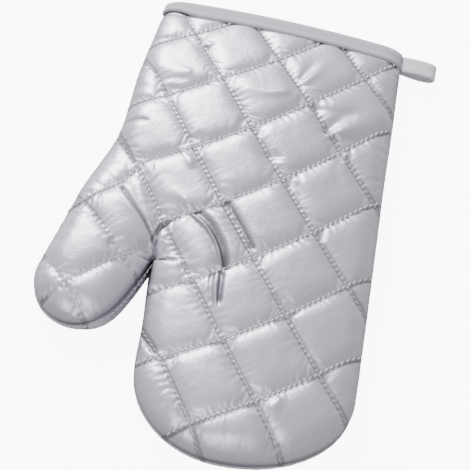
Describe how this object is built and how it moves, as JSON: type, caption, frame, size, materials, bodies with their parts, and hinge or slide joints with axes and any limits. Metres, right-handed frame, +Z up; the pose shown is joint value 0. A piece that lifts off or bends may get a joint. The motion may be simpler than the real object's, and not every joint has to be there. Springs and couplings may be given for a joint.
{
  "type": "oven mitt",
  "caption": "Quilted silver-coated oven mitt with a hand pocket, a side thumb, a taped cuff and a tape hanging loop, lying flat.",
  "frame": {"origin": "centre of the bounding box on the table plane, under the palm, with the mitt lying on its back panel", "axes": "+Y from the fingertips to the cuff, +Z up out of the front panel, +X away from the thumb"},
  "size_m": [0.1936, 0.2694, 0.03],
  "materials": {
    "silver_shell": "satin",
    "wadding": "matte",
    "cotton_lining": "matte",
    "binding_tape": "matte",
    "loop_tape": "matte"
  },
  "bodies": {
    "hand": {"front_shell_palm": "silver_shell", "front_batting_palm": "wadding", "front_lining_palm": "cotton_lining", "back_shell_palm": "silver_shell", "back_batting_palm": "wadding", "back_lining_palm": "cotton_lining", "cuff_binding": "binding_tape"},
    "fingers": {"front_shell_fingers": "silver_shell", "front_batting_fingers": "wadding", "front_lining_fingers": "cotton_lining", "back_shell_fingers": "silver_shell", "back_batting_fingers": "wadding", "back_lining_fingers": "cotton_lining"},
    "thumb": {"front_shell_thumb": "silver_shell", "front_batting_thumb": "wadding", "front_lining_thumb": "cotton_lining", "back_shell_thumb": "silver_shell", "back_batting_thumb": "wadding", "back_lining_thumb": "cotton_lining"},
    "hang_loop": {"hang_loop": "loop_tape"}
  },
  "joints": [
    {"name": "finger_fold", "type": "hinge", "parent": "hand", "child": "fingers", "pos_m": [0.0193, -0.047, 0.03], "axis": [-1, 0, 0], "range_deg": [0, 90]},
    {"name": "thumb_fold", "type": "hinge", "parent": "hand", "child": "thumb", "pos_m": [-0.06505, -0.02898, 0.026], "axis": [-0.9367, 0.3502, 0], "range_deg": [0, 90]},
    {"name": "loop_swing", "type": "hinge", "parent": "hand", "child": "hang_loop", "pos_m": [0.07336, 0.128, 0.008], "axis": [0, -1, 0], "range_deg": [-15, 85]}
  ]
}
